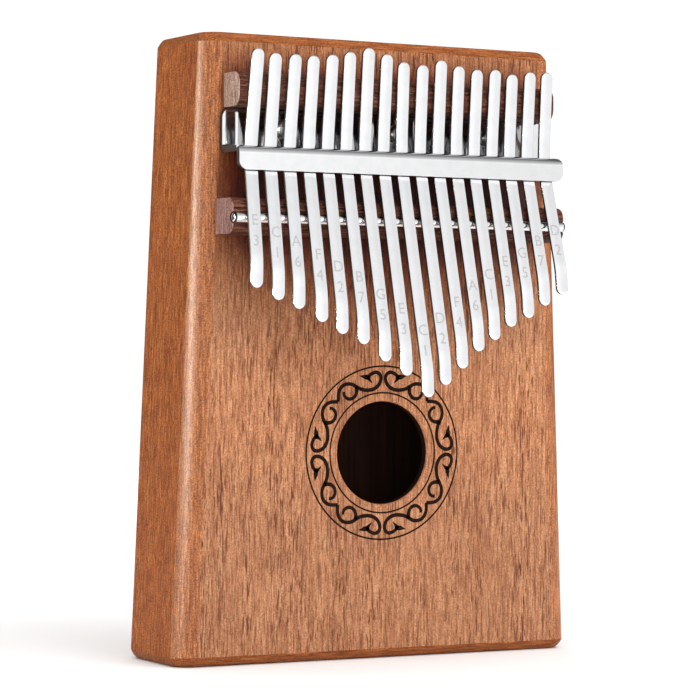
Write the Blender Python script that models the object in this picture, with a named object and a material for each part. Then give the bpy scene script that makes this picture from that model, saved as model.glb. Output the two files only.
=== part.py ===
"""Seventeen-tine box mbira (kalimba), standing on its lower end.

World frame, metres: +Z runs up the body towards the clamped end of the tines,
the soundboard faces -Y and +X is to the right of somebody facing the soundboard.
The origin is the middle of the flat lower end.
"""

import math

import bmesh
import bpy

# ---------------------------------------------------------------- body
BODY_H = 0.1850          # length of the body along Z
BODY_W0 = 0.1350         # width at the lower end
BODY_W1 = 0.1198         # width at the upper end
BODY_T = 0.0360          # thickness, front face at Y = 0
FRONT_ROUND = 0.0062     # round-over of the long front edges
BACK_ROUND = 0.0040      # round-over of the long back edges
END_FRONT = ((0.0, 0.0026), (0.0005, 0.0019), (0.0024, 0.0))   # end chamfer towards -Y and +Y:
END_SIDE = ((0.0, 0.0015), (0.0005, 0.0008), (0.0024, 0.0))    # and to +-X, (depth, inset)

BOARD_T = 0.0030         # soundboard thickness
BACK_T = 0.0040          # back board thickness
WALL = 0.0090            # side and end wall thickness
GAP = 0.0003             # glue line between two wooden parts
HOLE_Z = 0.0616          # height of the sound hole centre
HOLE_R = 0.0157

PIN_BLOCK = (0.0980, 0.0085, 0.0180)   # inner block under the bracket, X Y Z
PIN_BLOCK_Z = 0.1570
FRONT_BRACE = (0.0980, 0.0070, 0.0120)  # inner brace under the front bridge
FRONT_BRACE_Z = 0.1310

# ---------------------------------------------------------------- bridges
REAR_BRIDGE_L = 0.1080
REAR_BRIDGE_Z = (0.1628, 0.1728)
REAR_BRIDGE_H = 0.0096
FRONT_BRIDGE_L = 0.1132
FRONT_BRIDGE_Z = (0.1257, 0.1362)
FRONT_BRIDGE_H = 0.0116
BRIDGE_ROUND = 0.0034    # domed long edges of both bridges
ROD_R = 0.0016
ROD_L = 0.1131
ROD_Z = 0.1304
ROD_H = 0.0114           # rod centre above the soundboard

# ---------------------------------------------------------------- bracket
SHEET = 0.0018
BRACKET_L = 0.1106
FLANGE_Z = 0.1625        # rear edge of the screwed flange
WEB_Z = 0.1513           # rear face of the upright web
LIP_Z = 0.1442           # edge of the lip that bears on the tines
LIP_H = 0.0130           # outer face of the lip above the soundboard
SLOT_W = 0.0050          # window in the web for one tine
SCREW_X = (-0.0352, 0.0031, 0.0352)
SCREW_Z = 0.1572
SHANK_R = 0.0013
HEAD_R = 0.0029
HEAD_H = 0.0019
SHANK_L = 0.0125

# ---------------------------------------------------------------- tines
TINE_W = 0.0040
TINE_T = 0.0010
REST_Z = 0.1484          # where the tine bends under the lip
REST_H = 0.0096          # outer face of the tine at the bend
REAR_SLOPE = 0.050       # rise of the tine behind the lip
TAIL_Z = 0.1570          # the tail turns up a little from here
TAIL_SLOPE = 0.082
FREE_SLOPE = 0.262       # rise of the tongue towards its tip
TIP_SLOPE = 0.080
TIP_FLAT = 0.0076        # length of the flattened tip
SPLIT_Z = 0.1304         # the tongue flexes about the rod
PITCH = 0.00625          # spacing of the tines at PITCH_Z
PITCH_Z = 0.1668
FAN = 0.0021             # growth of the spacing per metre towards the tips
ROW_X = 0.0004           # the whole row sits a little to the right
TIP_MM = (110.1, 106.7, 104.2, 100.5, 97.1, 94.2, 89.2, 85.1, 78.8,
          82.4, 87.2, 92.3, 95.7, 99.7, 102.4, 106.2, 109.6)
REAR_MM = (179.3, 178.3, 178.3, 178.2, 178.8, 179.9, 181.4, 179.9, 177.9,
           177.4, 179.1, 177.7, 177.0, 177.3, 176.2, 177.2, 177.4)
TIP_LEAN_MM = (-1.5, -1.2, -1.2, -0.5, -0.6, -0.3, -0.1, 0.0, 0.0,
               0.0, 0.1, 0.1, -0.2, -0.2, 0.1, 0.2, 0.8)   # hand-set tines lean sideways
REAR_LEAN_MM = (0.7, 0.2, 0.5, 0.2, 0.2, -0.2, -0.2, -0.2, -0.6,
                -0.3, -0.2, -0.2, 0.0, 0.2, 0.0, 0.2, 0.0)


# ---------------------------------------------------------------- helpers
def clear_scene():
    for obj in list(bpy.data.objects):
        bpy.data.objects.remove(obj, do_unlink=True)


def make_collection(name):
    coll = bpy.data.collections.new(name)
    bpy.context.scene.collection.children.link(coll)
    return coll


def material(name, colour, roughness, metallic):
    mat = bpy.data.materials.new(name)
    mat.use_nodes = True
    shader = mat.node_tree.nodes["Principled BSDF"]
    shader.inputs["Base Color"].default_value = (*colour, 1.0)
    shader.inputs["Roughness"].default_value = roughness
    shader.inputs["Metallic"].default_value = metallic
    mat.diffuse_color = (*colour, 1.0)
    return mat


def add_object(name, bm, coll, mat=None, smooth=False):
    bm.normal_update()
    bmesh.ops.recalc_face_normals(bm, faces=bm.faces)
    if bm.calc_volume(signed=True) < 0:
        bmesh.ops.reverse_faces(bm, faces=bm.faces)
    mesh = bpy.data.meshes.new(name)
    bm.to_mesh(mesh)
    bm.free()
    for poly in mesh.polygons:
        poly.use_smooth = smooth
    obj = bpy.data.objects.new(name, mesh)
    coll.objects.link(obj)
    if mat is not None:
        mesh.materials.append(mat)
    return obj


def box_bm(x0, x1, y0, y1, z0, z1):
    bm = bmesh.new()
    bmesh.ops.create_cube(bm, size=1.0)
    for v in bm.verts:
        v.co.x = x0 if v.co.x < 0 else x1
        v.co.y = y0 if v.co.y < 0 else y1
        v.co.z = z0 if v.co.z < 0 else z1
    return bm


def edges_where(bm, test):
    return [e for e in bm.edges if test(e.verts[0].co, e.verts[1].co)]


def bevel(bm, edges, offset, segments, profile=0.5):
    bm.normal_update()
    bmesh.ops.bevel(bm, geom=edges, offset=offset, offset_type='OFFSET', segments=segments,
                    profile=profile, affect='EDGES', clamp_overlap=True)


def along_x(a, b):
    return abs(a.x - b.x) > 0.001 and abs(a.y - b.y) < 1e-6 and abs(a.z - b.z) < 1e-6


def cylinder_bm(radius, length, steps, axis):
    """Cylinder on the origin, lying along 'X', 'Y' or 'Z'."""
    bm = bmesh.new()
    bmesh.ops.create_cone(bm, cap_ends=True, segments=steps, radius1=radius,
                          radius2=radius, depth=length)
    for v in bm.verts:
        x, y, z = v.co
        if axis == 'X':
            v.co = (z, x, y)
        if axis == 'Y':
            v.co = (x, z, -y)
    return bm


def move_bm(bm, x, y, z):
    bmesh.ops.translate(bm, vec=(x, y, z), verts=bm.verts)
    return bm


def boolean(obj, cutter, operation):
    mod = obj.modifiers.new(operation.title(), 'BOOLEAN')
    mod.operation = operation
    mod.solver = 'EXACT'
    mod.object = cutter
    return mod


def add_cutter(name, bm):
    obj = add_object(name, bm, CUTTERS)
    obj.hide_render = True
    obj.display_type = 'WIRE'
    return obj


def half_width(z):
    return 0.5 * (BODY_W0 + (BODY_W1 - BODY_W0) * z / BODY_H)


# ---------------------------------------------------------------- box
def section(z, inset_x, inset_y):
    """Outline of the box at one height, drawn in from its full size by the end chamfer."""
    wide = half_width(z) - inset_x
    points = []
    for sx, sy, radius, start in ((1, -1, FRONT_ROUND, -90), (1, 1, BACK_ROUND, 0),
                                  (-1, 1, BACK_ROUND, 90), (-1, -1, FRONT_ROUND, 180)):
        r = radius - 0.4 * inset_y
        cx = sx * (wide - r)
        cy = BODY_T / 2 + sy * (BODY_T / 2 - inset_y - r)
        for step in range(7):
            angle = math.radians(start + 15 * step)
            points.append((cx + r * math.cos(angle), cy + r * math.sin(angle), z))
    return points


def body_envelope():
    """Outside shape of the closed box: tapered, rounded along, chamfered at the ends."""
    ends = [(deep, side, front) for (deep, front), (_, side) in zip(END_FRONT, END_SIDE)]
    rings = [section(deep, side, front) for deep, side, front in ends]
    rings += [section(BODY_H - deep, side, front) for deep, side, front in reversed(ends)]
    bm = bmesh.new()
    rows = [[bm.verts.new(p) for p in ring] for ring in rings]
    count = len(rows[0])
    for low, high in zip(rows, rows[1:]):
        for i in range(count):
            j = (i + 1) % count
            bm.faces.new((low[i], low[j], high[j], high[i]))
    bm.faces.new(rows[0][::-1])
    bm.faces.new(rows[-1])
    return bm


def envelope_slice(name, y0, y1, mat):
    obj = add_object(name, body_envelope(), PARTS, mat)
    cutter = add_cutter(name + "_slab", box_bm(-0.2, 0.2, y0, y1, -0.1, 0.3))
    boolean(obj, cutter, 'INTERSECT')
    return obj


def side_cutter(name, side, inner_gap, y0, y1):
    """Slab over one side wall; its inner face follows the taper of the body."""
    bm = box_bm(0.0, 1.0, y0, y1, -0.02, BODY_H + 0.02)
    for v in bm.verts:
        inner = half_width(v.co.z) - WALL - inner_gap
        v.co.x = side * (inner if v.co.x < 0.5 else 0.2)
    return add_cutter(name, bm)


def build_box():
    board = envelope_slice("soundboard", -0.01, BOARD_T, MAHOGANY)
    bore = move_bm(cylinder_bm(HOLE_R, 0.03, 48, 'Y'), 0.0, 0.0, HOLE_Z)
    boolean(board, add_cutter("sound_hole_bore", bore), 'DIFFERENCE')
    boolean(board, SCREW_BORES, 'DIFFERENCE')

    envelope_slice("back_board", BODY_T - BACK_T, BODY_T + 0.01, MAHOGANY_BACK)

    y0 = BOARD_T + GAP
    y1 = BODY_T - BACK_T - GAP
    for name, side in (("side_left", -1), ("side_right", 1)):
        obj = add_object(name, body_envelope(), PARTS, MAHOGANY_SIDE)
        boolean(obj, side_cutter(name + "_slab", side, 0.0, y0, y1), 'INTERSECT')
    trims = [side_cutter("end_trim_left", -1, GAP, -0.1, 0.1),
             side_cutter("end_trim_right", 1, GAP, -0.1, 0.1)]
    for name, z0, z1 in (("end_bottom", -0.02, WALL), ("end_top", BODY_H - WALL, BODY_H + 0.02)):
        obj = add_object(name, body_envelope(), PARTS, MAHOGANY_END)
        slab = add_cutter(name + "_slab", box_bm(-0.2, 0.2, y0, y1, z0, z1))
        boolean(obj, slab, 'INTERSECT')
        for trim in trims:
            boolean(obj, trim, 'DIFFERENCE')


def wood_block(name, size, z, y0, mat, bores=False):
    sx, sy, sz = size
    obj = add_object(name, box_bm(-sx / 2, sx / 2, y0, y0 + sy, z - sz / 2, z + sz / 2), PARTS, mat)
    if bores:
        boolean(obj, SCREW_BORES, 'DIFFERENCE')
    return obj


# ---------------------------------------------------------------- bridges
def bridge(name, length, z_range, height, mat):
    bm = box_bm(-length / 2, length / 2, -height, -GAP, z_range[0], z_range[1])
    top = edges_where(bm, lambda a, b: along_x(a, b) and a.y < -height + 1e-6)
    bevel(bm, top, BRIDGE_ROUND, 5)
    return add_object(name, bm, PARTS, mat)


def build_bridges():
    bridge("rear_bridge", REAR_BRIDGE_L, REAR_BRIDGE_Z, REAR_BRIDGE_H, MAHOGANY_BRIDGE)
    front = bridge("front_bridge", FRONT_BRIDGE_L, FRONT_BRIDGE_Z, FRONT_BRIDGE_H, MAHOGANY_BRIDGE)
    groove = move_bm(cylinder_bm(ROD_R + GAP, 0.12, 32, 'X'), 0.0, -ROD_H, ROD_Z)
    boolean(front, add_cutter("rod_groove", groove), 'DIFFERENCE')

    rod = cylinder_bm(ROD_R, ROD_L, 24, 'X')
    rims = edges_where(rod, lambda a, b: abs(abs(a.x) - ROD_L / 2) < 1e-6 and abs(a.x - b.x) < 1e-6)
    bevel(rod, rims, 0.0006, 2)
    add_object("bridge_rod", move_bm(rod, 0.0, -ROD_H, ROD_Z), PARTS, CHROME, smooth=True)


# ---------------------------------------------------------------- bracket
def rounded_plate(x_half, y0, y1, z0, z1, radius, steps):
    """Flat plate with rounded outline corners."""
    bm = box_bm(-x_half, x_half, y0, y1, z0, z1)
    corners = edges_where(bm, lambda a, b: abs(a.y - b.y) > 0.001)
    bevel(bm, corners, radius, steps)
    return bm


def build_bracket():
    """One bent sheet: screwed flange, web with seventeen windows, lip over the tines."""
    half = BRACKET_L / 2
    flange = rounded_plate(half, -GAP - SHEET, -GAP, WEB_Z - SHEET, FLANGE_Z, 0.0026, 4)
    obj = add_object("z_bracket", flange, PARTS, CHROME)

    web = box_bm(-half + 0.0004, half - 0.0004, -LIP_H + SHEET / 2, -GAP, WEB_Z - SHEET, WEB_Z)
    boolean(obj, add_cutter("bracket_web", web), 'UNION')

    lip = rounded_plate(half, -LIP_H, -LIP_H + SHEET, LIP_Z, WEB_Z, 0.0026, 4)
    bends = edges_where(lip, lambda a, b: along_x(a, b) and a.z > WEB_Z - 1e-6 and a.y < -LIP_H + 1e-6)
    bevel(lip, bends, 0.0012, 3)
    boolean(obj, add_cutter("bracket_lip", lip), 'UNION')

    for k in range(17):
        x = tine_x(k, WEB_Z)
        window = box_bm(x - SLOT_W / 2, x + SLOT_W / 2, -LIP_H + SHEET, -GAP - SHEET - 0.0002,
                        WEB_Z - 2 * SHEET, WEB_Z + SHEET)
        boolean(obj, add_cutter(f"web_window_{k + 1:02d}", window), 'DIFFERENCE')
    boolean(obj, SCREW_BORES, 'DIFFERENCE')


def build_screws():
    """Pan-head cross-recess wood screws, heads towards -Y."""
    for i, x in enumerate(SCREW_X):
        seat = -GAP - SHEET - 0.0002
        profile = ((0.0, -HEAD_H), (0.0012, -HEAD_H), (0.0022, -HEAD_H * 0.82), (HEAD_R, -HEAD_H * 0.35),
                   (HEAD_R, 0.0), (SHANK_R, 0.0), (SHANK_R, SHANK_L * 0.72), (0.0, SHANK_L))
        bm = bmesh.new()
        verts = [bm.verts.new((r, y, 0.0)) for r, y in profile]
        edges = [bm.edges.new((verts[j], verts[j + 1])) for j in range(len(verts) - 1)]
        bmesh.ops.spin(bm, geom=verts + edges, angle=2 * math.pi, steps=20, axis=(0, 1, 0),
                       cent=(0, 0, 0), use_merge=True)
        bmesh.ops.remove_doubles(bm, verts=bm.verts, dist=0.00001)
        obj = add_object(f"bracket_screw_{i + 1}", move_bm(bm, x, seat, SCREW_Z), PARTS, STEEL)
        cross = box_bm(-0.0017, 0.0017, -0.004, -0.0009, -0.0003, 0.0003)
        cutter = add_cutter(f"recess_a_{i + 1}", move_bm(cross, x, seat, SCREW_Z))
        boolean(obj, cutter, 'DIFFERENCE')
        cross = box_bm(-0.0003, 0.0003, -0.004, -0.0009, -0.0017, 0.0017)
        cutter = add_cutter(f"recess_b_{i + 1}", move_bm(cross, x, seat, SCREW_Z))
        boolean(obj, cutter, 'DIFFERENCE')


# ---------------------------------------------------------------- tines
def tine_x(k, z):
    """Centre line of tine k (0 to 16); the tines fan out slightly towards the tips."""
    tip, rear = TIP_MM[k] / 1000, REAR_MM[k] / 1000
    if z < REST_Z:
        lean = TIP_LEAN_MM[k] * (REST_Z - z) / (REST_Z - tip)
    else:
        lean = REAR_LEAN_MM[k] * (z - REST_Z) / (rear - REST_Z)
    return (k - 8) * (PITCH + (PITCH_Z - z) * FAN) + ROW_X + lean / 1000


def tine_height(z, tip):
    """Outer face of a tine above the soundboard."""
    bend = tip + TIP_FLAT
    if z >= REST_Z:
        return REST_H + (z - REST_Z) * REAR_SLOPE + max(z - TAIL_Z, 0.0) * (TAIL_SLOPE - REAR_SLOPE)
    if z >= bend:
        return REST_H + (REST_Z - z) * FREE_SLOPE
    return REST_H + (REST_Z - bend) * FREE_SLOPE + (bend - z) * TIP_SLOPE


def strip(k, z0, z1, tip, round_low, round_high, stations):
    """Flat strip with rounded ends, cut across at the stations and bent to shape."""
    bm = box_bm(-TINE_W / 2, TINE_W / 2, -TINE_T / 2, TINE_T / 2, z0, z1)
    for end, wanted in ((z0, round_low), (z1, round_high)):
        if wanted:
            corners = edges_where(bm, lambda a, b: abs(a.z - end) < 1e-6 and abs(b.z - end) < 1e-6
                                  and abs(a.y - b.y) > 1e-5)
            bevel(bm, corners, TINE_W * 0.47, 4)
    for z in stations:
        geom = list(bm.verts) + list(bm.edges) + list(bm.faces)
        bmesh.ops.bisect_plane(bm, geom=geom, dist=1e-7, plane_co=(0, 0, z), plane_no=(0, 0, 1))
    for v in bm.verts:
        z = v.co.z
        v.co.x += tine_x(k, z)
        v.co.y += TINE_T / 2 - tine_height(z, tip)
    return bm


def build_tines():
    pivot_h = tine_height(SPLIT_Z, 0.0) - TINE_T / 2
    for k in range(17):
        tip = TIP_MM[k] / 1000
        rear = REAR_MM[k] / 1000
        number = f"{k + 1:02d}"
        root = strip(k, SPLIT_Z + GAP / 2, rear, tip, False, True,
                     (REST_Z - 0.0018, REST_Z - 0.0006, REST_Z + 0.0006, REST_Z + 0.0018, TAIL_Z))
        add_object("tine_root_" + number, root, PARTS, TINE_STEEL)
        bend = tip + TIP_FLAT
        tongue = strip(k, tip, SPLIT_Z - GAP / 2, tip, True, False,
                       (bend - 0.0012, bend, bend + 0.0012))
        obj = add_object("tine_tongue_" + number, tongue, PARTS, TINE_STEEL)
        pivot = (tine_x(k, SPLIT_Z), -pivot_h, SPLIT_Z)
        for v in obj.data.vertices:
            v.co.x -= pivot[0]
            v.co.y -= pivot[1]
            v.co.z -= pivot[2]
        obj.location = pivot


# ---------------------------------------------------------------- assembly
clear_scene()
PARTS = make_collection("mbira")
CUTTERS = make_collection("cutters")

MAHOGANY = material("soundboard_wood", (0.52, 0.27, 0.15), 0.5, 0.0)
MAHOGANY_SIDE = material("side_wood", (0.42, 0.18, 0.08), 0.5, 0.0)
MAHOGANY_END = material("end_wood", (0.40, 0.17, 0.07), 0.55, 0.0)
MAHOGANY_BACK = material("back_wood", (0.46, 0.22, 0.11), 0.5, 0.0)
MAHOGANY_BRIDGE = material("bridge_wood", (0.33, 0.17, 0.12), 0.6, 0.0)
INNER_WOOD = material("inner_wood", (0.50, 0.36, 0.22), 0.7, 0.0)
CHROME = material("bracket_chrome", (0.78, 0.78, 0.79), 0.12, 1.0)
STEEL = material("screw_steel", (0.62, 0.62, 0.63), 0.3, 1.0)
TINE_STEEL = material("tine_steel", (0.83, 0.83, 0.84), 0.22, 1.0)

bores = bmesh.new()
for screw_x in SCREW_X:
    made = bmesh.ops.create_cone(bores, cap_ends=True, segments=20, radius1=SHANK_R + GAP,
                                 radius2=SHANK_R + GAP, depth=0.0335)
    for vert in made["verts"]:
        a, b, c = vert.co
        vert.co = (a + screw_x, c, SCREW_Z - b)
SCREW_BORES = add_cutter("screw_bores", bores)

build_box()
wood_block("pin_block", PIN_BLOCK, PIN_BLOCK_Z, BOARD_T + GAP, INNER_WOOD, bores=True)
wood_block("front_brace", FRONT_BRACE, FRONT_BRACE_Z, BOARD_T + GAP, INNER_WOOD)
build_bridges()
build_bracket()
build_screws()
build_tines()

# the front face was drawn at Y = 0: put the middle of the lower end on the origin
for coll in (PARTS, CUTTERS):
    for obj in coll.objects:
        obj.location.y -= BODY_T / 2
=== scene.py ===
"""Looks of the seventeen-tine box mbira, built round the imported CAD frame.

Units are metres in the CAD frame: +Z up the body, the soundboard faces -Y.
"""

import math

import bmesh
import bpy
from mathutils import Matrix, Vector


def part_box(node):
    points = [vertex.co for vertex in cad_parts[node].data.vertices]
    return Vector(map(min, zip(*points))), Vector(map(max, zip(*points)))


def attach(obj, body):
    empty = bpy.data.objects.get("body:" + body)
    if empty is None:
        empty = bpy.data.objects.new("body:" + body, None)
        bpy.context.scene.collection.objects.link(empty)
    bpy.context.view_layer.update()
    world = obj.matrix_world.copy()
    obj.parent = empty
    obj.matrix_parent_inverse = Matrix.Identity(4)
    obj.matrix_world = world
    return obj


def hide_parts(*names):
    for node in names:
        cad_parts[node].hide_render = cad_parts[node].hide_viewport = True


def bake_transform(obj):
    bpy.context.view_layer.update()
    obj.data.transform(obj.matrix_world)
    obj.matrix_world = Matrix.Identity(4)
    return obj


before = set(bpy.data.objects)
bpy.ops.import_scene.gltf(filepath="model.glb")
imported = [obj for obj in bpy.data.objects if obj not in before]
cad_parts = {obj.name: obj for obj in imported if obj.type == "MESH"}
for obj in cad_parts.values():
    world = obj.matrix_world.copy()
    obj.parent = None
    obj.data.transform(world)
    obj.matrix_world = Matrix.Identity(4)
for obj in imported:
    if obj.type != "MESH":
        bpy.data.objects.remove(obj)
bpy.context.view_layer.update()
MM = 0.001

# ---------------------------------------------------------------- sizes, as in the CAD
BODY_H = 0.1850
BODY_W0 = 0.1350
BODY_W1 = 0.1198
BODY_T = 0.0360
FACE_Y = -BODY_T / 2                 # outer face of the soundboard
FRONT_ROUND = 0.0062
BACK_ROUND = 0.0040
END_STEPS = ((0.0, 0.00260, 0.00150), (0.0002, 0.00225, 0.00110), (0.0005, 0.00190, 0.00080),
             (0.0012, 0.00120, 0.00042), (0.0021, 0.00032, 0.00010), (0.0024, 0.00009, 0.00003),
             (0.0028, 0.0, 0.0))          # depth from the end, inset in Y, inset in X
WALL = 0.0090
BOARD_T = 0.0030
BACK_T = 0.0040
HOLE_Z = 0.0616
HOLE_R = 0.0157
HOLE_LIP = (                         # radius beyond HOLE_R and depth below the face, front to back
    (1.0 * MM, -1.0 * MM), (0.3 * MM, 0.0), (-0.1 * MM, 0.15 * MM), (-0.3 * MM, 0.6 * MM),
    (-0.3 * MM, BODY_T / 2))

BRIDGE_ROUND = 3.4 * MM              # domed long edges
BRIDGE_RIM = 0.3 * MM
ROD_SLACK = 0.03 * MM
ROD_DOME = 0.75 * MM

SHEET = 0.0018
BRACKET_L = 0.1106
FLANGE_Z = 0.1625
WEB_Z = 0.1513
LIP_Z = 0.1442
LIP_H = 0.0130
BEND_R = 1.7 * MM
FLANGE_CORNER = 2.8 * MM
LIP_CORNER = 2.6 * MM
WEB_CORNER = 1.6 * MM
FLANGE_END = 5.0 * MM                # bright ends of the flange; between them the plate is darkened as painted shade under the tines
SHEET_EDGE = 0.5 * MM
SLOT_W = 0.0050
SCREW_X = (-0.0352, 0.0031, 0.0352)
SCREW_Z = 0.1572
SCREW_CROWN = ((0.02, 1.0), (0.35, 0.985), (0.6, 0.93), (0.8, 0.82), (0.93, 0.62), (1.0, 0.35),
               (1.0, 0.0))           # share of the head's radius, share of its height
SCREW_SHANK_R = 1.3 * MM
SCREW_SHANK_L = 9.0 * MM
CROSS_ARM = 1.8 * MM
CROSS_HALF = 0.32 * MM
CROSS_DEEP = 1.0 * MM

TINE_W = 0.0040
TINE_T = 0.0010
REST_Z = 0.1484
REST_H = 0.0096
REAR_SLOPE = 0.050
TAIL_Z = 0.1570
TAIL_SLOPE = 0.082
FREE_SLOPE = 0.262
TIP_SLOPE = 0.080
TIP_FLAT = 0.0076
PITCH = 0.00625
PITCH_Z = 0.1668
FAN = 0.0021
ROW_X = 0.0004
TINES = 17
TIP_LEAN_MM = (-1.5, -1.2, -1.2, -0.5, -0.6, -0.3, -0.1, 0.0, 0.0,
               0.0, 0.1, 0.1, -0.2, -0.2, 0.1, 0.2, 0.8)
REAR_LEAN_MM = (0.7, 0.2, 0.5, 0.2, 0.2, -0.2, -0.2, -0.2, -0.6,
                -0.3, -0.2, -0.2, 0.0, 0.2, 0.0, 0.2, 0.0)
TIP_Z = [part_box(f"tine_tongue_{k + 1:02d}")[0][2] for k in range(TINES)]
REAR_Z = [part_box(f"tine_root_{k + 1:02d}")[1][2] for k in range(TINES)]
STATION = 1.2 * MM                   # spacing of the sections along a tine
TINE_EDGE = 0.2 * MM
NOTES = "ECAFDBGECDFACEGBD"
DIGITS = "31642753124613572"
MARK_SIZE = 4.6 * MM
NOTE_RISE = 19.5 * MM                # height of the marks above the tip
DIGIT_RISE = 13.5 * MM
MARK_PROUD = 0.03 * MM
MARK_SUNK = 0.015 * MM

RINGS_MM = ((26.0, 0.52), (18.0, 0.50))    # radius and line width of the scrollwork's circles
SCROLL_MM = (
    # one eighth of the scrollwork, left of the top: points (x, z) from the hole centre, line widths
    (((-5.1, 22.8), (-4.1, 23.65), (-2.6, 24.15), (-1.35, 23.7), (-0.8, 22.6), (-1.05, 21.2),
      (-2.1, 19.8), (-3.85, 18.95), (-5.85, 18.8), (-7.8, 19.15), (-9.3, 19.9), (-10.6, 20.5),
      (-12.05, 20.65), (-13.5, 20.3), (-14.65, 19.25), (-15.25, 17.75), (-15.35, 15.35)),
     (1.05, 1.15, 1.10)),
    (((-4.7, 23.1), (-5.2, 22.7), (-6.2, 22.75), (-7.0, 22.9), (-8.1, 23.05)), (1.2, 1.5, 0.15)),
    (((-5.3, 23.0), (-5.0, 22.4), (-4.6, 21.8), (-3.7, 20.9)), (1.3, 1.2, 0.15)),
    (((-9.2, 19.85), (-9.1, 18.6), (-9.45, 17.3), (-10.4, 16.4), (-11.7, 16.15), (-12.8, 16.65),
      (-13.4, 17.5), (-13.4, 18.3)), (1.35, 1.10, 0.90)),
)

# ---------------------------------------------------------------- light and camera
FRONT_WORLD = 1.36                   # strength of the surround in front, at the sides and behind
SIDE_WORLD = 0.34
REAR_WORLD = 0.15
ZENITH_SHARE = 0.45                  # share left overhead, at the horizon and to the far right
BASE_SHARE = 0.82
RIGHT_SHARE = 0.86
BACKDROP = 1.05                      # the surround as the camera sees it
KEY_W = 8.4
TOP_W = 58.0
BACK_W = 5.0
LEFT_W = 2.4
STRIP_W = 4.1
STRIP_LEAN = 58.0
STRIP_TINT = (1.0, 0.93, 0.80)
FLOOR_R = 1.2
FLOOR_Z = (-0.02, -0.0002)
CAMERA_AT = (-0.42285, -0.76179, 0.09540)
CAMERA_TURN = (89.797, -0.415, -28.946)
CAMERA_LENS = 146.55


# ---------------------------------------------------------------- mesh helpers
def finish_mesh(name, bm, materials, smooth_angle=40.0):
    """Turns a bmesh into an object with outward normals and sharp edges above an angle."""
    bm.normal_update()
    bmesh.ops.recalc_face_normals(bm, faces=bm.faces)
    if bm.calc_volume(signed=True) < 0:
        bmesh.ops.reverse_faces(bm, faces=bm.faces)
    limit = math.radians(smooth_angle)
    for face in bm.faces:
        face.smooth = True
    for edge in bm.edges:
        edge.smooth = len(edge.link_faces) != 2 or edge.calc_face_angle(0.0) < limit
    mesh = bpy.data.meshes.new(name)
    bm.to_mesh(mesh)
    bm.free()
    obj = bpy.data.objects.new(name, mesh)
    bpy.context.scene.collection.objects.link(obj)
    for mat in materials:
        mesh.materials.append(mat)
    return obj


def box_bm(x0, x1, y0, y1, z0, z1):
    bm = bmesh.new()
    bmesh.ops.create_cube(bm, size=1.0)
    for v in bm.verts:
        v.co.x = x0 if v.co.x < 0 else x1
        v.co.y = y0 if v.co.y < 0 else y1
        v.co.z = z0 if v.co.z < 0 else z1
    bm.normal_update()
    return bm


def loft(rings, cap=True):
    """Skins rings that all have the same number of points."""
    bm = bmesh.new()
    rows = [[bm.verts.new(p) for p in ring] for ring in rings]
    count = len(rows[0])
    for low, high in zip(rows, rows[1:]):
        for i in range(count):
            j = (i + 1) % count
            bm.faces.new((low[i], low[j], high[j], high[i]))
    if cap:
        bm.faces.new(rows[0][::-1])
        bm.faces.new(rows[-1])
    return bm


def boolean(obj, cutter_bm, operation):
    """Applies one exact boolean and drops the cutter."""
    cutter = finish_mesh("cutter", cutter_bm, [])
    mod = obj.modifiers.new("cut", 'BOOLEAN')
    mod.operation = operation
    mod.solver = 'EXACT'
    mod.object = cutter
    bake(obj)
    bpy.data.objects.remove(cutter, do_unlink=True)


def bake(obj):
    """Applies an object's modifiers to its mesh."""
    bpy.context.view_layer.update()
    graph = bpy.context.evaluated_depsgraph_get()
    mesh = bpy.data.meshes.new_from_object(obj.evaluated_get(graph))
    old = obj.data
    obj.modifiers.clear()
    obj.data = mesh
    mesh.name = obj.name
    bpy.data.meshes.remove(old)


def resharpen(obj, angle=40.0):
    limit = math.radians(angle)
    bm = bmesh.new()
    bm.from_mesh(obj.data)
    bmesh.ops.remove_doubles(bm, verts=bm.verts, dist=1e-7)
    for face in bm.faces:
        face.smooth = True
    for edge in bm.edges:
        edge.smooth = len(edge.link_faces) != 2 or edge.calc_face_angle(0.0) < limit
    bm.to_mesh(obj.data)
    bm.free()


def circle(radius, steps, x=0.0, y=0.0):
    """Points round a circle, as pairs."""
    return [(x + radius * math.cos(a), y + radius * math.sin(a))
            for a in (2 * math.pi * i / steps for i in range(steps))]


def half_width(z):
    return 0.5 * (BODY_W0 + (BODY_W1 - BODY_W0) * z / BODY_H)


# ---------------------------------------------------------------- materials
class Tree:
    """Small writer of node trees."""

    def __init__(self, tree):
        self.tree = tree

    def new(self, kind, **values):
        node = self.tree.nodes.new(kind)
        for key, value in values.items():
            setattr(node, key, value)
        return node

    def link(self, a, b):
        self.tree.links.new(a, b)

    def math(self, operation, a, b=0.0, clamp=False):
        node = self.new("ShaderNodeMath", operation=operation, use_clamp=clamp)
        for socket, value in zip(node.inputs, (a, b)):
            if isinstance(value, (float, int)):
                socket.default_value = value
            else:
                self.link(value, socket)
        return node.outputs["Value"]

    def smooth(self, value, low, high, start=0.0, end=1.0):
        """Soft step from start to end while the value runs from low to high."""
        node = self.new("ShaderNodeMapRange", interpolation_type='SMOOTHSTEP')
        for key, number in (("From Min", low), ("From Max", high), ("To Min", start), ("To Max", end)):
            node.inputs[key].default_value = number
        self.link(value, node.inputs["Value"])
        return node.outputs["Result"]

    def split(self, vector):
        """The X, Y and Z of a vector."""
        node = self.new("ShaderNodeSeparateXYZ")
        self.link(vector, node.inputs["Vector"])
        return tuple(node.outputs[k] for k in "XYZ")


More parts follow.
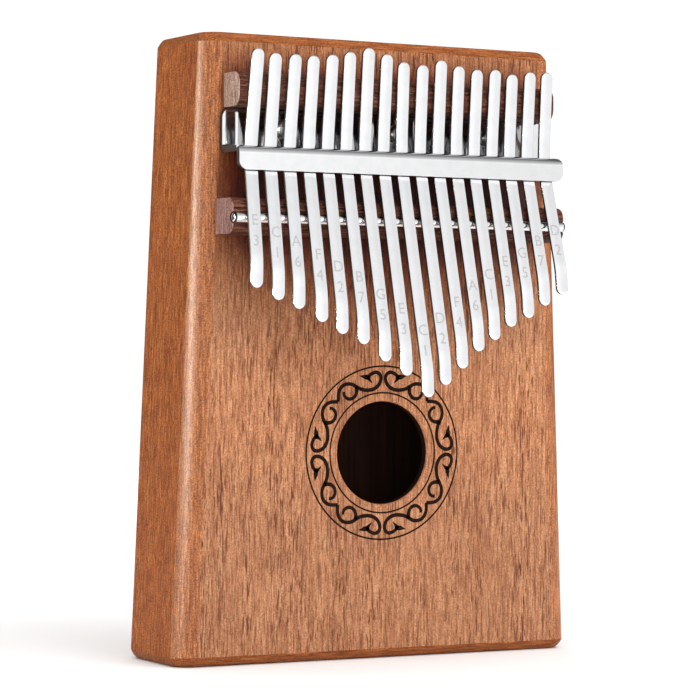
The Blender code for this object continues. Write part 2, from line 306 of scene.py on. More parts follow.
class Nodes(Tree):
    """One material: its shader, and textures that sit in the object's own space."""

    def __init__(self, name):
        self.mat = bpy.data.materials.new(name)
        self.mat.use_nodes = True
        super().__init__(self.mat.node_tree)
        self.shader = self.tree.nodes["Principled BSDF"]
        self.coord = self.new("ShaderNodeTexCoord").outputs["Object"]

    def stretched(self, scale, offset=(0.0, 0.0, 0.0), rotation=(0.0, 0.0, 0.0)):
        node = self.new("ShaderNodeMapping")
        node.inputs["Scale"].default_value = scale
        node.inputs["Location"].default_value = offset
        node.inputs["Rotation"].default_value = rotation
        self.link(self.coord, node.inputs["Vector"])
        return node.outputs["Vector"]

    def noise(self, vector, scale, detail=2.0, rough=0.5, distortion=0.0):
        node = self.new("ShaderNodeTexNoise")
        node.inputs["Scale"].default_value = scale
        node.inputs["Detail"].default_value = detail
        node.inputs["Roughness"].default_value = rough
        node.inputs["Distortion"].default_value = distortion
        self.link(vector, node.inputs["Vector"])
        return node.outputs["Fac"]

    def ramp(self, fac, stops):
        node = self.new("ShaderNodeValToRGB")
        ramp = node.color_ramp
        while len(ramp.elements) < len(stops):
            ramp.elements.new(0.5)
        for element, (position, colour) in zip(ramp.elements, stops):
            element.position = position
            if isinstance(colour, float):
                colour = (colour, colour, colour)
            element.color = (*colour, 1.0)
        self.link(fac, node.inputs["Fac"])
        return node.outputs["Color"]

    def mix(self, fac, a, b, blend='MIX'):
        node = self.new("ShaderNodeMix", data_type='RGBA', blend_type=blend)
        for key, value in (("Factor", fac), ("A", a), ("B", b)):
            socket = node.inputs[key]
            if isinstance(value, (float, int)):
                socket.default_value = value
            elif isinstance(value, tuple):
                socket.default_value = (*value, 1.0)
            else:
                self.link(value, socket)
        return node.outputs["Result"]

    def times(self, a, b):
        """Product of two colours."""
        return self.mix(1.0, a, b, 'MULTIPLY')

    def bump(self, height, distance, strength=1.0):
        node = self.new("ShaderNodeBump")
        node.inputs["Distance"].default_value = distance
        node.inputs["Strength"].default_value = strength
        self.link(height, node.inputs["Height"])
        self.link(node.outputs["Normal"], self.shader.inputs["Normal"])

    def set(self, **values):
        for key, value in values.items():
            self.shader.inputs[key.replace("_", " ")].default_value = value


WHITE = (1.0, 1.0, 1.0)


def wood(name, light, mid, dark, pore, along='Z', shade_zone=False, rough=0.46, pore_amount=1.0,
         grit_amount=1.0, specular=0.5):
    """Open-pored straight-grained wood, its fibres along one axis."""
    n = Nodes(name)
    stretch = {'Z': (1.0, 1.0, 0.075), 'X': (0.075, 1.0, 1.0)}[along]
    slow = {'Z': (1.0, 1.0, 0.022), 'X': (0.022, 1.0, 1.0)}[along]
    lean = (0.0, math.radians(1.2), 0.0)        # the grain runs a little off the axis
    fibre = n.noise(n.stretched(stretch, rotation=lean), 1750.0, 3.0, 0.62)
    band = n.noise(n.stretched(slow, (0.31, 0.07, 0.02), lean), 95.0, 2.0, 0.5, 0.25)
    fleck = n.noise(n.coord, 2300.0, 2.0, 0.7)
    streak = n.noise(n.stretched(stretch, (0.11, 0.4, 0.03), lean), 2700.0, 1.0, 0.5)
    cluster = n.noise(n.stretched(stretch, (0.2, 0.1, 0.3)), 170.0, 2.0, 0.5)

    base = n.ramp(fibre, ((0.34, dark), (0.50, mid), (0.66, light)))
    tint = n.ramp(band, ((0.32, (0.92, 0.89, 0.87)), (0.52, WHITE), (0.70, (1.07, 1.07, 1.06))))
    colour = n.times(base, tint)
    low, high = 1.0 - 0.30 * grit_amount, 1.0 + 0.20 * grit_amount
    grit = n.ramp(fleck, ((0.34, (low, low * 0.98, low * 0.95)), (0.50, WHITE), (0.66, high)))
    colour = n.times(colour, grit)
    lines = n.ramp(streak, ((0.572, 0.0), (0.605, 1.0)))
    thick = n.ramp(cluster, ((0.34, 0.35), (0.62, 1.0)))
    pores = n.math('MULTIPLY', n.math('MULTIPLY', lines, thick), pore_amount, clamp=True)
    colour = n.mix(pores, colour, pore)
    if shade_zone:
        colour = n.times(colour, shade_map(n))
    n.link(colour, n.shader.inputs["Base Color"])
    gloss = n.math('ADD', n.math('MULTIPLY', fibre, 0.16), rough - 0.08)
    gloss = n.math('ADD', gloss, n.math('MULTIPLY', pores, 0.2))
    n.link(gloss, n.shader.inputs["Roughness"])
    relief = n.math('ADD', n.math('MULTIPLY', fibre, 0.5), n.math('MULTIPLY', fleck, 0.4))
    n.bump(n.math('SUBTRACT', relief, pores), 0.00007, 0.6)
    n.set(Specular_IOR_Level=specular)
    return n.mat


def shade_map(n):
    """Painted light and shade on the soundboard: a painted shadow of the tines spreading down and out
    below them, the darkest painted shade between the lip and the rod, darker and redder towards the
    bracket, and a paler band below the tines as painted light."""
    x, _, z = n.split(n.coord)
    across = n.math('ABSOLUTE', x)
    # painted shadow of the tines: across their width, above a line that falls towards the sides
    edge = n.smooth(across, 0.051, 0.061, 1.0, 0.0)
    lower_line = n.math('ADD', n.math('MULTIPLY', across, 0.42), 0.082)
    low = n.smooth(n.math('SUBTRACT', z, lower_line), 0.000, 0.040)
    high = n.smooth(z, 0.168, 0.182, 1.0, 0.0)
    wide = n.math('MULTIPLY', n.math('MULTIPLY', edge, low), high)
    # darkest painted shade, between the lip and the rod
    core = n.math('MULTIPLY', n.smooth(z, 0.106, 0.132), n.smooth(across, 0.046, 0.056, 1.0, 0.0))
    soft = n.mix(wide, WHITE, (0.52, 0.27, 0.17))
    deep = n.mix(n.math('MULTIPLY', core, high), WHITE, (0.32, 0.13, 0.075))
    # darker and redder towards the bracket
    upper_darkening = n.mix(n.smooth(z, 0.098, 0.138), WHITE, (0.92, 0.81, 0.66))
    # painted light: a paler band just below the tine tips
    middle = n.math('MULTIPLY', n.smooth(z, 0.035, 0.075), n.smooth(z, 0.086, 0.104, 1.0, 0.0))
    pale = n.mix(middle, WHITE, (1.17, 1.15, 1.12))
    return n.times(n.times(soft, deep), n.times(upper_darkening, pale))


def metal(name, colour, rough, scratch_axis='Z', scratch=0.05, bump=0.000004, wave=0.0):
    """Plated steel: small changes of gloss along the polishing direction, or a slow ripple."""
    n = Nodes(name)
    stretch = {'Z': (1.0, 1.0, 0.03), 'X': (0.03, 1.0, 1.0)}[scratch_axis]
    lines = n.noise(n.stretched(stretch), 2600.0, 3.0, 0.6)
    cloud = n.noise(n.coord, 260.0, 3.0, 0.55)
    tone = n.ramp(cloud, ((0.30, tuple(0.95 * c for c in colour)), (0.65, colour)))
    n.link(tone, n.shader.inputs["Base Color"])
    gloss = n.math('ADD', n.math('MULTIPLY', lines, scratch), rough)
    gloss = n.math('ADD', gloss, n.math('MULTIPLY', cloud, scratch * 0.5))
    n.link(gloss, n.shader.inputs["Roughness"])
    if wave:
        n.bump(n.noise(n.stretched((1.0, 1.0, 0.45)), 300.0, 0.0, 0.4, 0.5), wave, 1.0)
    else:
        n.bump(lines, bump, 0.5)
    n.set(Metallic=1.0)
    return n.mat


def burnt():
    """Charred scrollwork lines with browner, uneven rims."""
    n = Nodes("burnt_line")
    char = n.noise(n.coord, 1400.0, 3.0, 0.6)
    n.link(n.ramp(char, ((0.35, (0.006, 0.003, 0.002)), (0.68, (0.022, 0.009, 0.005)))),
           n.shader.inputs["Base Color"])
    n.link(n.math('ADD', n.math('MULTIPLY', char, 0.2), 0.6), n.shader.inputs["Roughness"])
    n.bump(char, 0.00003, 0.5)
    n.set(Specular_IOR_Level=0.08)
    return n.mat


def dark_inside():
    """Unfinished wood inside the box, painted near black as painted shade."""
    n = Nodes("inner_face_wood")
    fibre = n.noise(n.stretched((1.0, 1.0, 0.05)), 700.0, 4.0, 0.6)
    n.link(n.ramp(fibre, ((0.3, (0.018, 0.006, 0.003)), (0.7, (0.045, 0.016, 0.008)))),
           n.shader.inputs["Base Color"])
    n.link(n.math('ADD', n.math('MULTIPLY', fibre, 0.2), 0.7), n.shader.inputs["Roughness"])
    n.set(Specular_IOR_Level=0.2)
    n.bump(fibre, 0.00005, 0.4)
    return n.mat


def engraved():
    """Dull, slightly darker steel of the note marks."""
    n = Nodes("engraved_mark")
    worn = n.noise(n.coord, 2400.0, 2.0, 0.6)
    n.link(n.ramp(worn, ((0.35, (0.64, 0.63, 0.64)), (0.7, (0.76, 0.75, 0.77)))),
           n.shader.inputs["Base Color"])
    n.link(n.math('ADD', n.math('MULTIPLY', worn, 0.2), 0.45), n.shader.inputs["Roughness"])
    n.set(Metallic=1.0)
    return n.mat


# each wood: light, middle and dark fibre, pore
FRONT_WOOD = wood(
    "soundboard_face", (0.525, 0.250, 0.124), (0.415, 0.175, 0.080), (0.285, 0.104, 0.042),
    (0.125, 0.032, 0.011), shade_zone=True, grit_amount=1.3, specular=0.30)
EDGE_WOOD = wood(
    "case_edge", (0.53, 0.172, 0.044), (0.370, 0.102, 0.021), (0.225, 0.051, 0.009),
    (0.135, 0.028, 0.006), pore_amount=0.8, rough=0.50, grit_amount=2.2, specular=0.12)
ROUND_WOOD = wood(
    "rounded_edge", (0.55, 0.200, 0.060), (0.395, 0.125, 0.031), (0.245, 0.065, 0.014),
    (0.150, 0.038, 0.009), pore_amount=0.6, rough=0.37, grit_amount=2.1, specular=0.5)
END_WOOD = wood(
    "case_end", (0.42, 0.140, 0.043), (0.310, 0.093, 0.026), (0.205, 0.055, 0.014),
    (0.130, 0.032, 0.009), along='X', pore_amount=0.8, rough=0.50, grit_amount=1.5, specular=0.12)
BACK_WOOD = wood(
    "back_face", (0.50, 0.225, 0.110), (0.39, 0.155, 0.070), (0.285, 0.097, 0.040),
    (0.165, 0.048, 0.019), specular=0.4)
# bridge blocks: dark wood, made darker still as painted shade of the tines over them
BRIDGE_WOOD = wood(
    "bridge_block", (0.205, 0.082, 0.052), (0.115, 0.040, 0.024), (0.056, 0.017, 0.010),
    (0.028, 0.008, 0.005), along='X', rough=0.62, grit_amount=1.8, specular=0.12)
REAR_END = wood(
    "rear_bridge_end_grain", (0.56, 0.38, 0.30), (0.42, 0.265, 0.205), (0.26, 0.150, 0.110),
    (0.14, 0.070, 0.050), rough=0.7, grit_amount=2.0, specular=0.3)
FRONT_END = wood(
    "front_bridge_end_grain", (0.42, 0.225, 0.190), (0.30, 0.145, 0.120), (0.19, 0.080, 0.066),
    (0.10, 0.038, 0.030), rough=0.7, grit_amount=2.0, specular=0.3)
BLOCK_WOOD = wood(
    "inner_block", (0.30, 0.19, 0.11), (0.22, 0.13, 0.07), (0.14, 0.08, 0.04),
    (0.07, 0.035, 0.02), along='X', rough=0.7)
INSIDE = dark_inside()
CHROME = metal("bracket_plate", (0.86, 0.865, 0.87), 0.05, 'X', 0.04, 0.000002)
# flange plate between its bright ends, darkened as painted shade under the tines; its ripple is real
FLANGE = metal("flange_plate", (0.46, 0.46, 0.47), 0.04, 'X', 0.04, wave=0.0003)
# near-black steel on the sheet's ends and upper bevels, the lip's lower edge and the rod's rounded ends:
# painted shade and dark reflection
EDGE_SHADE_STEEL = metal("painted_edge_shade", (0.08, 0.076, 0.076), 0.25, 'X', 0.10)
ROD_STEEL = metal("rod_plate", (0.86, 0.865, 0.87), 0.06, 'X', 0.04, 0.000002)
SCREW_STEEL = metal("screw_plate", (0.52, 0.52, 0.53), 0.22, 'X', 0.10)
TINE_STEEL = metal("tine_plate", (0.90, 0.905, 0.925), 0.10, 'Z', 0.08, 0.000003)
# dark steel on the sides of the tines: painted shade along their edges
TINE_EDGES = metal("tine_side_shade", (0.130, 0.125, 0.125), 0.28, 'Z', 0.10, 0.000003)
MARK = engraved()
BURNT = burnt()


# ---------------------------------------------------------------- case
def case_section(z, inset_y, inset_x):
    """Outline of the case at one height, moved inwards by the end chamfer."""
    wide = half_width(z) - inset_x
    front, back = FACE_Y + inset_y, BODY_T / 2 - inset_y
    points = []
    corners = ((wide, front, FRONT_ROUND, -90.0), (wide, back, BACK_ROUND, 0.0),
               (-wide, back, BACK_ROUND, 90.0), (-wide, front, FRONT_ROUND, 180.0))
    for x, y, radius, start in corners:
        r = radius - inset_y * 0.4
        cx = x - math.copysign(r, x)
        cy = y + r if y < 0 else y - r
        for step in range(25):
            angle = math.radians(start + 90.0 * step / 24)
            points.append((cx + r * math.cos(angle), cy + r * math.sin(angle), z))
    return points


def case_solid():
    """The whole case as one solid; each board is cut out of it."""
    rings = [case_section(deep, iy, ix) for deep, iy, ix in END_STEPS]
    rings += [case_section(BODY_H - deep, iy, ix) for deep, iy, ix in reversed(END_STEPS)]
    return loft(rings)


def side_slab(side, y0, y1):
    """Everything outside the inner face of one long wall."""
    bm = box_bm(0.0, 1.0, y0, y1, -0.02, BODY_H + 0.02)
    for v in bm.verts:
        inner = half_width(v.co.z) - WALL
        v.co.x = side * (inner if v.co.x < 0.5 else 0.2)
    return bm


def paint_faces(obj, pick):
    """Gives each face the material slot that pick(centre, normal) returns."""
    for poly in obj.data.polygons:
        poly.material_index = pick(poly.center, poly.normal)


def build_case():
    seam_front = FACE_Y + BOARD_T
    seam_back = BODY_T / 2 - BACK_T

    board = finish_mesh("front_board", case_solid(),
                        [FRONT_WOOD, END_WOOD, INSIDE, ROUND_WOOD, BURNT])
    boolean(board, box_bm(-0.2, 0.2, -0.1, seam_front, -0.1, 0.3), 'INTERSECT')
    rings = [(HOLE_R + wider, FACE_Y + deep) for wider, deep in HOLE_LIP]
    boolean(board, loft([[(x, y, z) for x, z in circle(r, 128, 0.0, HOLE_Z)] for r, y in rings]),
            'DIFFERENCE')

    def board_face(centre, normal):
        if normal.y < -0.999:
            return 0
        if math.hypot(centre.x, centre.z - HOLE_Z) < HOLE_R + 0.5 * MM:
            return 4 if normal.y > -0.2 else 0
        if normal.y > 0.9:
            return 2
        return 3 if abs(normal.z) < 0.1 else 1

    paint_faces(board, board_face)
    place(board, ("soundboard",))

    back = finish_mesh("back_panel", case_solid(), [BACK_WOOD, EDGE_WOOD, INSIDE, END_WOOD])
    boolean(back, box_bm(-0.2, 0.2, seam_back, 0.1, -0.1, 0.3), 'INTERSECT')

    def panel_face(centre, normal):
        if normal.y > 0.999:
            return 0
        if normal.y < -0.9:
            return 2
        return 1 if abs(normal.z) < 0.1 else 3

    paint_faces(back, panel_face)
    place(back, ("back_board",))

    for name, node, side in (("left_wall", "side_left", -1), ("right_wall", "side_right", 1)):
        obj = finish_mesh(name, case_solid(), [EDGE_WOOD, INSIDE, ROUND_WOOD, END_WOOD])
        boolean(obj, side_slab(side, seam_front, seam_back), 'INTERSECT')

        def wall_face(centre, normal, s=side):
            if normal.x * s < -0.5 or abs(normal.y) > 0.99:
                return 1
            if abs(normal.z) > 0.1:
                return 3
            return 2 if normal.y < -0.12 else 0

        paint_faces(obj, wall_face)
        place(obj, (node,))

    for name, node, z0, z1 in (("lower_wall", "end_bottom", -0.02, WALL),
                               ("upper_wall", "end_top", BODY_H - WALL, BODY_H + 0.02)):
        obj = finish_mesh(name, case_solid(), [END_WOOD, INSIDE])
        boolean(obj, box_bm(-0.2, 0.2, seam_front, seam_back, z0, z1), 'INTERSECT')
        for side in (-1, 1):
            boolean(obj, side_slab(side, -0.1, 0.1), 'DIFFERENCE')
        inner = 1.0 if z0 < 0 else -1.0
        paint_faces(obj, lambda c, nrm, s=inner: 1 if nrm.z * s > 0.5 or abs(nrm.y) > 0.99 else 0)
        place(obj, (node,))


def place(obj, nodes, body="box"):
    """Rides a piece on its body in place of its CAD nodes."""
    resharpen(obj)
    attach(obj, body)
    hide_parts(*nodes)


# ---------------------------------------------------------------- bridges
def build_bridges():
    for name, node in (("rear_bridge_block", "rear_bridge"), ("front_bridge_block", "front_bridge")):
        low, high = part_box(node)
        low, high = Vector(low), Vector(high)
        high.y = FACE_Y
        bm = box_bm(low.x, high.x, low.y, high.y, low.z, high.z)
        long_edges = [e for e in bm.edges if abs(e.verts[0].co.x - e.verts[1].co.x) > 0.05
                      and e.verts[0].co.y < low.y + 1e-6 and e.verts[1].co.y < low.y + 1e-6]
        bmesh.ops.bevel(bm, geom=long_edges, offset=BRIDGE_ROUND, segments=12, profile=0.5,
                        affect='EDGES')
        bm.normal_update()
        rims = [e for e in bm.edges if abs(e.verts[0].co.x - e.verts[1].co.x) < 1e-6
                and abs(abs(e.verts[0].co.x) - high.x) < 1e-6
                and (e.verts[0].co.y < high.y - 1e-6 or e.verts[1].co.y < high.y - 1e-6)]
        bmesh.ops.bevel(bm, geom=rims, offset=BRIDGE_RIM, segments=2, profile=0.5, affect='EDGES')
        obj = finish_mesh(name, bm, [BRIDGE_WOOD, REAR_END if node == "rear_bridge" else FRONT_END])
        if node == "front_bridge":
            rod_low, rod_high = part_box("bridge_rod")
            cy, cz = (rod_low[1] + rod_high[1]) / 2, (rod_low[2] + rod_high[2]) / 2
            radius = (rod_high[2] - rod_low[2]) / 2 + ROD_SLACK
            groove = loft([[(x, y, z) for y, z in circle(radius, 48, cy, cz)] for x in (-0.08, 0.08)])
            boolean(obj, groove, 'DIFFERENCE')
        paint_faces(obj, lambda c, nrm: 1 if abs(nrm.x) > 0.3 else 0)
        place(obj, (node,))

    low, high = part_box("bridge_rod")
    cy, cz, radius = (low[1] + high[1]) / 2, (low[2] + high[2]) / 2, (high[2] - low[2]) / 2
    rings = []
    stations = [(-1, t) for t in (90, 72, 54, 36, 18, 0)] + [(1, t) for t in (0, 18, 36, 54, 72, 90)]
    for side, t in stations:
        a = math.radians(t)
        r = radius - ROD_DOME + ROD_DOME * math.cos(a)
        x = side * (high[0] - ROD_DOME + ROD_DOME * math.sin(a))
        rings.append([(x, y, z) for y, z in circle(r, 48, cy, cz)])
    rod = finish_mesh("bridge_rod_round", loft(rings), [ROD_STEEL, EDGE_SHADE_STEEL])
    # rounded ends of the rod in near-black steel: painted shade and dark reflection
    paint_faces(rod, lambda c, nrm: 1 if 0.15 < abs(nrm.x) < 0.85 else 0)
    place(rod, ("bridge_rod",))


# ---------------------------------------------------------------- bracket
def bracket_profile():
    """Closed outline of the bent sheet in Y and Z: flange, web and lip round two soft bends."""
    half = SHEET / 2
    low, high = FACE_Y - half, FACE_Y - LIP_H + half
    mid = WEB_Z - half
    path = [((low, FLANGE_Z), (0.0, 1.0))]
    for step in range(13):
        a = math.radians(90 * step / 12)
        path.append(((low - BEND_R * (1 - math.cos(a)), mid + BEND_R * (1 - math.sin(a))),
                     (math.sin(a), math.cos(a))))
    for step in range(13):
        a = math.radians(90 * step / 12)
        path.append(((high + BEND_R * (1 - math.sin(a)), mid - BEND_R * (1 - math.cos(a))),
                     (math.cos(a), math.sin(a))))
    path.append(((high, LIP_Z), (0.0, 1.0)))
    front = [(y - half * b, z + half * a) for (y, z), (a, b) in path]
    rear = [(y + half * b, z - half * a) for (y, z), (a, b) in path]
    return front + rear[::-1]


def corner_trim(x, z, side, up, radius, y0, y1):
    """Prism that leaves a rounded corner at (x, z)."""
    cx, cz = x - side * radius, z - up * radius
    rim = [(cx + side * radius * math.sin(a), cz + up * radius * math.cos(a))
           for a in (math.pi / 2 * i / 10 for i in range(11))]
    rim += [(x + side * MM, cz), (x + side * MM, z + up * MM), (cx, z + up * MM)]
    return loft([[(px, y, pz) for px, pz in rim] for y in (y0, y1)])


def build_bracket():
    half = BRACKET_L / 2
    profile = bracket_profile()
    stations = (-half, FLANGE_END - half, half - FLANGE_END, half)
    obj = finish_mesh("pressure_bracket", loft([[(x, y, z) for y, z in profile] for x in stations]),
                      [CHROME, FLANGE, EDGE_SHADE_STEEL], 25.0)
    corners = ((FLANGE_Z, 1, FLANGE_CORNER, -0.0225, -0.0170), (LIP_Z, -1, LIP_CORNER, -0.0325, -0.0285),
               (WEB_Z, 1, WEB_CORNER, -0.0325, -0.0290))
    for side in (-1, 1):
        for z, up, radius, y0, y1 in corners:
            boolean(obj, corner_trim(side * half, z, side, up, radius, y0, y1), 'DIFFERENCE')
    windows = bmesh.new()
    for k in range(TINES):
        x = tine_x(k, WEB_Z)
        part = box_bm(x - SLOT_W / 2, x + SLOT_W / 2, FACE_Y - LIP_H + SHEET, FACE_Y - SHEET - 0.8 * MM,
                      WEB_Z - 3 * SHEET, WEB_Z + SHEET)
        temp = bpy.data.meshes.new("window")
        part.to_mesh(temp)
        part.free()
        windows.from_mesh(temp)
        bpy.data.meshes.remove(temp)
    boolean(obj, windows, 'DIFFERENCE')
    mod = obj.modifiers.new("edge", 'BEVEL')
    mod.width = SHEET_EDGE
    mod.segments = 4
    mod.limit_method = 'ANGLE'
    mod.angle_limit = math.radians(50)
    bake(obj)

    def sheet_face(centre, normal):
        """Painted shade and dark reflection on the sheet's ends, upper bevels and the lip's lower edge;
        the middle of the flange rippled and darkened as painted shade under the tines; polish on the
        rest.
        """
        lip = centre.y < FACE_Y - 9.0 * MM
        if abs(normal.x) > 0.5 or 0.90 < normal.z < 0.999 or (lip and -0.95 < normal.z < -0.4):
            return 2
        return 1 if centre.y > FACE_Y - 2.2 * MM and abs(centre.x) < half - 0.98 * FLANGE_END else 0

    paint_faces(obj, sheet_face)
    place(obj, ("z_bracket",))


def build_screws():
    for i, x in enumerate(SCREW_X):
        node = f"bracket_screw_{i + 1}"
        low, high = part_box(node)
        head = (high[0] - low[0]) / 2
        seat = FACE_Y - SHEET
        crown = low[1]                # top of the head
        depth = seat - crown
        rings = [(head * share, seat - depth * rise) for share, rise in SCREW_CROWN]
        rings += [(SCREW_SHANK_R, seat), (SCREW_SHANK_R, seat + SCREW_SHANK_L), (0.2 * MM, high[1])]
        bm = loft([[(px, y, pz) for px, pz in circle(r, 40, x, SCREW_Z)] for r, y in rings])
        obj = finish_mesh(f"bracket_screw_{i + 1}_cross", bm, [SCREW_STEEL], 30.0)
        for dx, dz in ((CROSS_ARM, CROSS_HALF), (CROSS_HALF, CROSS_ARM)):
            boolean(obj, box_bm(x - dx, x + dx, crown - MM, crown + CROSS_DEEP,
                                SCREW_Z - dz, SCREW_Z + dz), 'DIFFERENCE')
        place(obj, (node,))


# ---------------------------------------------------------------- tines
def tine_x(k, z):
    """Centre line of tine k: a slight fan, with each hand-set tine leaning its own way."""
    if z < REST_Z:
        lean = TIP_LEAN_MM[k] * (REST_Z - z) / (REST_Z - TIP_Z[k])
    else:
        lean = REAR_LEAN_MM[k] * (z - REST_Z) / (REAR_Z[k] - REST_Z)
    return (k - 8) * (PITCH + (PITCH_Z - z) * FAN) + ROW_X + lean * MM


def ramp_up(d, radius=1.6 * MM):
    """Zero, then rising one for one, with a soft bend between."""
    if d < -radius:
        return 0.0
    if d > radius:
        return d
    return (d + radius) ** 2 / (4 * radius)


def tine_height(z, tip):
    """Height of a tine's upper face over the soundboard."""
    bend = tip + TIP_FLAT
    return (REST_H + REAR_SLOPE * ramp_up(z - REST_Z) + FREE_SLOPE * ramp_up(REST_Z - z)
            + (TAIL_SLOPE - REAR_SLOPE) * ramp_up(z - TAIL_Z)
            - (FREE_SLOPE - TIP_SLOPE) * ramp_up(bend - z, 2.6 * MM))


def tine_section(half, thick, edge):
    """Rounded rectangle across a tine, x sideways and y through the thickness."""
    points = []
    for sx, sy, start in ((1, -1, -90), (1, 1, 0), (-1, 1, 90), (-1, -1, 180)):
        for step in range(5):
            a = math.radians(start + 90 * step / 4)
            points.append((sx * (half - edge) + edge * math.cos(a),
                           sy * (thick / 2 - edge) + edge * math.sin(a)))
    return points


def mark_mesh(text, centre_z, k, tip):
    """Raised outline of one generic note mark, laid on the face of a tine."""
    curve = bpy.data.curves.new("mark", 'FONT')
    curve.body = text
    curve.size = MARK_SIZE
    curve.align_x = 'CENTER'
    curve.align_y = 'CENTER'
    curve.extrude = MARK_PROUD
    curve.resolution_u = 3
    temp = bpy.data.objects.new("mark", curve)
    bpy.context.scene.collection.objects.link(temp)
    bpy.context.view_layer.update()
    mesh = bpy.data.meshes.new_from_object(temp.evaluated_get(bpy.context.evaluated_depsgraph_get()))
    for v in mesh.vertices:
        x, up, out = v.co
        z = centre_z + up
        v.co = (tine_x(k, z) + x, FACE_Y - tine_height(z, tip) - out + MARK_SUNK, z)
    bpy.data.objects.remove(temp, do_unlink=True)
    bpy.data.curves.remove(curve)
    return mesh


def build_tine(k):
    number = f"{k + 1:02d}"
    tip, rear = TIP_Z[k], REAR_Z[k]
    half = TINE_W / 2
    stations = []
    steps = 9
    for step in range(steps):
        a = math.pi / 2 * (step + 0.6) / steps
        stations.append((tip + half * (1 - math.cos(a)), half * math.sin(a)))
    z = tip + half
    while z < rear - half - STATION:
        z += STATION
        stations.append((z, half))
    for step in reversed(range(steps)):
        a = math.pi / 2 * (step + 0.6) / steps
        stations.append((rear - half * (1 - math.cos(a)), half * math.sin(a)))
    rings = []
    for z, wide in stations:
        x0 = tine_x(k, z)
        y0 = FACE_Y - tine_height(z, tip) + TINE_T / 2
        thick = TINE_T - 0.3 * MM * max(0.0, 1 - wide / (0.75 * half))
        edge = min(TINE_EDGE, wide * 0.4, thick * 0.4)
        rings.append([(x0 + x, y0 + y, z) for x, y in tine_section(wide, thick, edge)])
    obj = finish_mesh("tine_" + number, loft(rings), [TINE_STEEL, MARK, TINE_EDGES], 50.0)
    # sides of each tine get the dark steel: painted shade along its edges
    paint_faces(obj, lambda c, nrm: 0 if abs(nrm.y) > 0.55 else 2)
    joined = bmesh.new()
    joined.from_mesh(obj.data)
    for text, above in ((NOTES[k], NOTE_RISE), (DIGITS[k], DIGIT_RISE)):
        mesh = mark_mesh(text, tip + above, k, tip)
        first = len(joined.faces)
        joined.from_mesh(mesh)
        joined.faces.ensure_lookup_table()
        for face in joined.faces[first:]:
            face.material_index = 1
        bpy.data.meshes.remove(mesh)
    joined.to_mesh(obj.data)
    joined.free()
    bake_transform(obj)
    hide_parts("tine_root_" + number, "tine_tongue_" + number)


# ---------------------------------------------------------------- rosette
def ribbon(points, width, closed=False):
    """Flat band of burnt wood, a hair proud of the soundboard; width may vary along it."""
    count = len(points)
    rings = []
    for i, (x, z) in enumerate(points):
        ahead = points[(i + 1) % count] if closed or i < count - 1 else points[i]
        behind = points[i - 1] if closed or i > 0 else points[i]
        tx, tz = ahead[0] - behind[0], ahead[1] - behind[1]
        length = math.hypot(tx, tz) or 1.0
        w = width(i / (count - 1)) / 2
        nx, nz = -tz / length * w, tx / length * w
        y0, y1 = FACE_Y - 0.03 * MM, FACE_Y + 0.12 * MM
        rings.append([(x + nx, y0, z + nz), (x - nx, y0, z - nz),
                      (x - nx, y1, z - nz), (x + nx, y1, z + nz)])
    if closed:
        rings.append(rings[0])
    bm = loft(rings, cap=not closed)
    if closed:
        bmesh.ops.remove_doubles(bm, verts=bm.verts, dist=1e-8)
    return bm



def spline(points, per_span=7):
    """Smooth curve through the points."""
    ends = [points[0]] + list(points) + [points[-1]]
    out = []
    for a, b, c, d in zip(ends, ends[1:], ends[2:], ends[3:]):
        for i in range(per_span):
            t = i / per_span
            out.append(tuple(0.5 * (2 * q + (r - p) * t + (2 * p - 5 * q + 4 * r - s) * t * t
                                    + (3 * q - p - 3 * r + s) * t ** 3)
                             for p, q, r, s in zip(a, b, c, d)))
    return out + [points[-1]]


def build_rosette():
    parts = []
    for radius, line in RINGS_MM:
        rim = circle(radius * MM, 160, 0.0, HOLE_Z)
        parts.append(ribbon(rim, lambda t, w=line: w * MM, closed=True))
    for points, (first, middle, last) in SCROLL_MM:
        def width(t, w=(first, middle, last)):
            if t < 0.5:
                return (w[0] + (w[1] - w[0]) * min(1.0, t * 4)) * MM
            return (w[1] + (w[2] - w[1]) * max(0.0, t * 2 - 1)) * MM
        curve = spline(points)
        for turn in range(8):
            a = math.radians(90 * (turn // 2))
            moved = []
            for x, z in curve:
                if turn % 2:
                    x, z = -z, -x
                moved.append(((x * math.cos(a) - z * math.sin(a)) * MM,
                              HOLE_Z + (x * math.sin(a) + z * math.cos(a)) * MM))
            parts.append(ribbon(moved, width))
    whole = bmesh.new()
    for part in parts:
        part.normal_update()
        bmesh.ops.recalc_face_normals(part, faces=part.faces)
        temp = bpy.data.meshes.new("ribbon")
        part.to_mesh(temp)
        part.free()
        whole.from_mesh(temp)
        bpy.data.meshes.remove(temp)
    obj = finish_mesh("burnt_rosette", whole, [BURNT])
    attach(obj, "box")


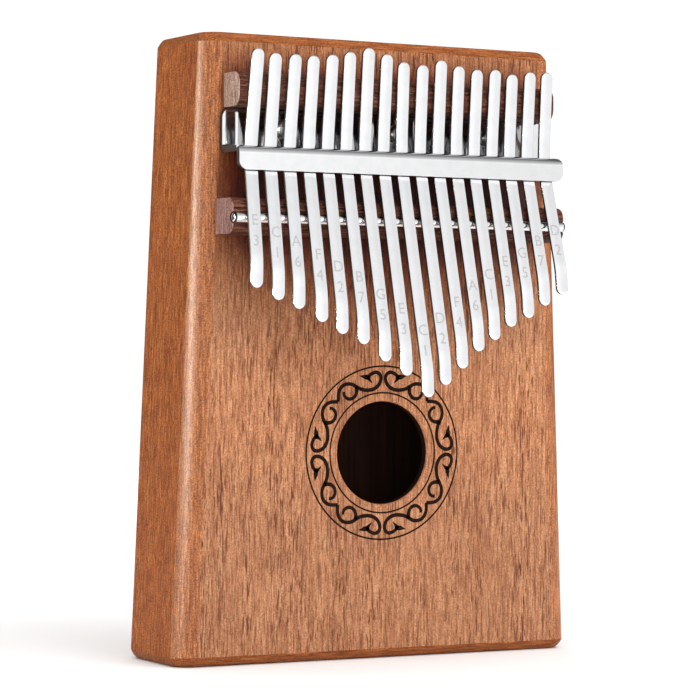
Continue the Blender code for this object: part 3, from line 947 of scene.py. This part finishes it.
# ---------------------------------------------------------------- staging
def build_world():
    """White to the camera; as a light it is a bright wall in front, dimmer at the sides, behind,
    overhead, low down and to the far right."""
    world = bpy.data.worlds.new("studio")
    bpy.context.scene.world = world
    world.use_nodes = True
    n = Tree(world.node_tree)
    back = n.tree.nodes["Background"]
    x, y, z = n.split(n.new("ShaderNodeTexCoord").outputs["Generated"])
    facing = n.math('SUBTRACT', n.math('MULTIPLY', x, 0.30), y)
    front = n.smooth(facing, -0.05, 0.75, SIDE_WORLD, FRONT_WORLD)
    rear = n.smooth(y, 0.2, 0.9, 0.0, REAR_WORLD - SIDE_WORLD)
    share = n.math('MULTIPLY', n.smooth(z, 0.16, 0.75, 1.0, ZENITH_SHARE),
                   n.smooth(z, 0.16, 0.40, BASE_SHARE, 1.0))
    share = n.math('MULTIPLY', share, n.smooth(x, 0.43, 0.56, 1.0, RIGHT_SHARE))
    strength = n.math('MULTIPLY', n.math('ADD', front, rear), share)
    seen = n.new("ShaderNodeLightPath").outputs["Is Camera Ray"]
    strength = n.math('ADD', n.math('MULTIPLY', strength, n.math('SUBTRACT', 1.0, seen)),
                      n.math('MULTIPLY', seen, BACKDROP))
    back.inputs["Color"].default_value = (*WHITE, 1.0)
    n.link(strength, back.inputs["Strength"])


def build_floor():
    rim = circle(FLOOR_R, 128)
    floor = finish_mesh("floor", loft([[(x, y, z) for x, y in rim] for z in FLOOR_Z]), [])
    n = Nodes("pale_floor")
    cloud = n.noise(n.coord, 3.0, 2.0, 0.5)
    n.link(n.ramp(cloud, ((0.3, 0.92), (0.7, 0.95))), n.shader.inputs["Base Color"])
    n.set(Roughness=0.9, Specular_IOR_Level=0.1)
    floor.data.materials.append(n.mat)


def area(name, place_at, aim, size, power, size_y=None, mirrored=False, scattered=True):
    """Soft panel light; mirrored or not in polished surfaces, lighting matt ones or not."""
    light = bpy.data.lights.new(name, 'AREA')
    light.energy = power
    light.size = size
    if size_y:
        light.shape = 'RECTANGLE'
        light.size_y = size_y
    obj = bpy.data.objects.new(name, light)
    obj.location = place_at
    obj.rotation_euler = (Vector(aim) - Vector(place_at)).to_track_quat('-Z', 'Y').to_euler()
    obj.visible_glossy = mirrored
    obj.visible_camera = False
    obj.visible_diffuse = scattered
    bpy.context.scene.collection.objects.link(obj)
    return obj


def build_lights():
    middle = (0.0, 0.0, 0.09)
    area("key_light", (0.45, -0.95, 0.85), middle, 1.20, KEY_W)
    area("top_light", (0.0, -0.10, 2.20), (0.0, 0.0, 0.0), 4.00, TOP_W)
    area("back_light", (0.25, 1.10, 0.60), middle, 0.80, BACK_W)
    area("left_light", (-1.00, -0.10, 0.35), middle, 0.50, LEFT_W)
    # leaning strip, seen only as the bright line along the rounded left edge
    strip = area("left_strip", (-0.460, -0.015, 0.118), (-0.06, -0.01, 0.10), 0.065, STRIP_W,
                 size_y=0.64, mirrored=True, scattered=False)
    strip.data.color = STRIP_TINT
    strip.rotation_euler.rotate_axis('Z', math.radians(STRIP_LEAN))


def build_camera():
    data = bpy.data.cameras.new("camera")
    data.sensor_width = 36.0
    data.lens = CAMERA_LENS
    data.clip_start = 0.01
    camera = bpy.data.objects.new("camera", data)
    camera.location = CAMERA_AT
    camera.rotation_euler = [math.radians(a) for a in CAMERA_TURN]
    bpy.context.scene.collection.objects.link(camera)
    bpy.context.scene.camera = camera


# ---------------------------------------------------------------- build
build_camera()
build_world()
build_floor()
build_lights()
build_case()
build_bridges()
build_bracket()
build_screws()
for tine in range(TINES):
    build_tine(tine)
build_rosette()

for node, mat in (("pin_block", BLOCK_WOOD), ("front_brace", BLOCK_WOOD)):
    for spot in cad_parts[node].material_slots:
        spot.material = mat

bpy.context.scene.view_settings.view_transform = 'Standard'
